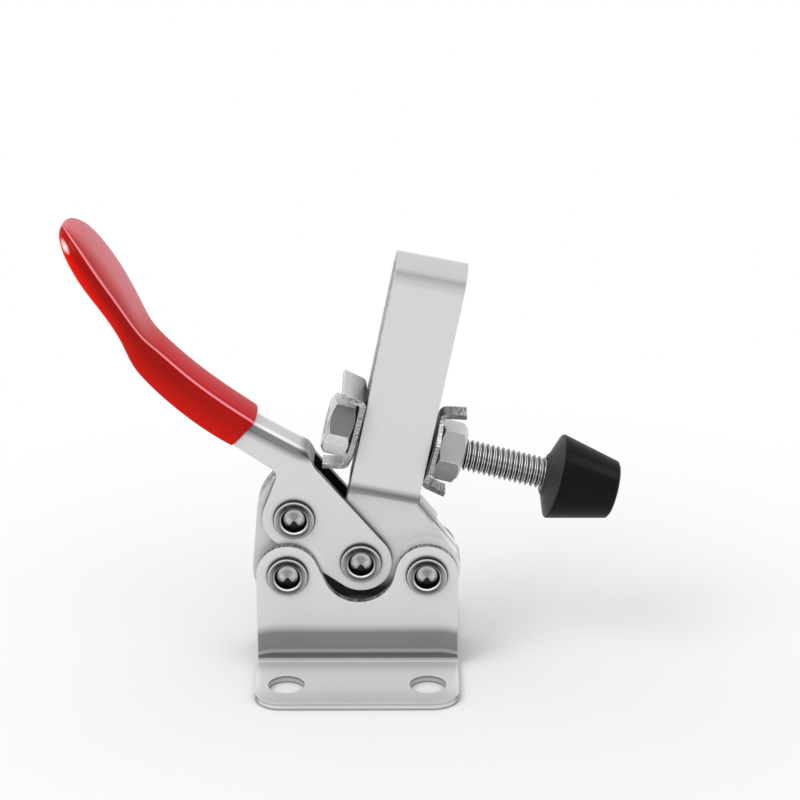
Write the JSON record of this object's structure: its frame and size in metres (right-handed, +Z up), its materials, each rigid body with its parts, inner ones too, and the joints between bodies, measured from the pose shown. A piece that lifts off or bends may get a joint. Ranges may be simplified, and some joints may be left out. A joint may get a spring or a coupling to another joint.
{
  "type": "toggle clamp",
  "caption": "Hand toggle clamp: flanged base, linked handle with a dipped grip, slotted holding bar and a rubber-tipped threaded spindle.",
  "frame": {"origin": "middle of the four mounting holes, on the underside of the base flanges", "axes": "+X from the handle towards the spindle, +Y from the near side plate towards the far one, +Z up"},
  "size_m": [0.1027, 0.0468, 0.0867],
  "materials": {
    "zinc_plate": "bright zinc plated sheet",
    "rivet_steel": "bright plated, turned",
    "fastener_steel": "plated fasteners",
    "red_dip": "glossy dipped vinyl",
    "black_rubber": "matt moulded rubber"
  },
  "bodies": {
    "base": {"base_near": "zinc_plate", "base_far": "zinc_plate", "rivet_link_base": "rivet_steel", "rivet_arm_base": "rivet_steel", "spacer_link_near": "rivet_steel", "spacer_link_far": "rivet_steel", "spacer_arm_near": "rivet_steel", "spacer_arm_far": "rivet_steel"},
    "link": {"link_near": "zinc_plate", "link_far": "zinc_plate", "bush_link_base": "rivet_steel"},
    "holding_arm": {"holding_bar": "zinc_plate", "bush_arm_base": "rivet_steel", "bush_arm_handle": "rivet_steel"},
    "handle": {"handle_lever": "zinc_plate", "handle_grip": "red_dip", "rivet_link_handle": "rivet_steel", "rivet_arm_handle": "rivet_steel", "bush_link_handle": "rivet_steel"},
    "spindle_carriage": {"washer_front": "fastener_steel", "washer_rear": "fastener_steel"},
    "front_nut": {"nut_front": "fastener_steel"},
    "rear_nut": {"nut_rear": "fastener_steel"},
    "spindle": {"spindle_stud": "fastener_steel", "rubber_tip": "black_rubber"}
  },
  "joints": [
    {"name": "arm_swing", "type": "hinge", "parent": "base", "child": "holding_arm", "pos_m": [0.0131, 0, 0.019], "axis": [0, 1, 0], "range_deg": [0, 67.5]},
    {"name": "handle_swing", "type": "hinge", "parent": "holding_arm", "child": "handle", "pos_m": [0.0007, 0, 0.02095], "axis": [0, 1, 0], "range_deg": [-125, 0]},
    {"name": "link_swing", "type": "hinge", "parent": "base", "child": "link", "pos_m": [-0.0131, 0, 0.019], "axis": [0, 1, 0], "range_deg": [0, 33.2]},
    {"name": "spindle_shift", "type": "slide", "parent": "holding_arm", "child": "spindle_carriage", "axis": [0.1977, 0, 0.9803], "range_m": [0, 0.0295]},
    {"name": "front_nut_turn", "type": "hinge", "parent": "spindle_carriage", "child": "front_nut", "pos_m": [0.01477, 0, 0.04253], "axis": [0.9677, 0, -0.2521], "range_deg": [-721, 3961]},
    {"name": "rear_nut_turn", "type": "hinge", "parent": "spindle_carriage", "child": "rear_nut", "pos_m": [-0.00079, 0, 0.04659], "axis": [0.9677, 0, -0.2521], "range_deg": [-721, 3961]},
    {"name": "spindle_feed", "type": "slide", "parent": "spindle_carriage", "child": "spindle", "axis": [-0.9677, 0, 0.2521], "range_m": [-0.002, 0.011]}
  ],
  "couplings": [
    {"joint": "handle_swing", "follows": "arm_swing", "ratio": -1.85},
    {"joint": "link_swing", "follows": "arm_swing", "ratio": 0.49},
    {"joint": "front_nut_turn", "follows": "spindle_feed", "rad_per_m": 6283.2},
    {"joint": "rear_nut_turn", "follows": "spindle_feed", "rad_per_m": 6283.2}
  ]
}
